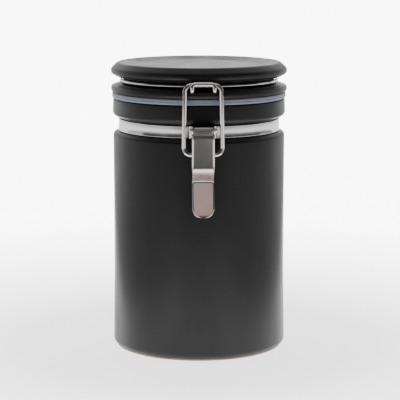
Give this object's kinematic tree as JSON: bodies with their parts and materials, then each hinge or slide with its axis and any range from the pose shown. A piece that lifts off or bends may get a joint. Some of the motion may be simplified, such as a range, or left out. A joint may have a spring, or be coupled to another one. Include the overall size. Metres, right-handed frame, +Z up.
{
  "type": "food canister",
  "caption": "Tall round ceramic food canister with a flanged lid, a soft seal and a steel wire swing clamp at the front.",
  "frame": {"origin": "centre of the foot, on the surface the canister stands on", "axes": "+Z up along the jar's axis; the clamp is at the front, towards -Y; the hinge is behind, towards +Y"},
  "size_m": [0.1076, 0.1215, 0.1752],
  "materials": {
    "black_glaze": "satin",
    "seal_silicone": "matte",
    "clamp_steel": "brushed"
  },
  "bodies": {
    "base": {"jar_body": "black_glaze", "neck_band": "clamp_steel", "lever_pin": "clamp_steel", "hinge_bracket": "clamp_steel", "hinge_rivet_left": "clamp_steel", "hinge_rivet_right": "clamp_steel"},
    "lid": {"lid": "black_glaze", "gasket": "seal_silicone", "lid_wire": "clamp_steel"},
    "lever": {"lever": "clamp_steel"},
    "link": {"link": "clamp_steel"}
  },
  "joints": [
    {"name": "lid_hinge", "type": "hinge", "parent": "base", "child": "lid", "pos_m": [0, 0.0575, 0.141], "axis": [-1, 0, 0], "range_deg": [0, 110]},
    {"name": "lever_pivot", "type": "hinge", "parent": "base", "child": "lever", "pos_m": [0, -0.058, 0.1396], "axis": [-1, 0, 0], "range_deg": [0, 100]},
    {"name": "link_swing", "type": "hinge", "parent": "lever", "child": "link", "pos_m": [0, -0.0562, 0.125], "axis": [-1, 0, 0], "range_deg": [-71, 0]}
  ],
  "couplings": [
    {"joint": "link_swing", "follows": "lever_pivot", "ratio": -0.705}
  ]
}
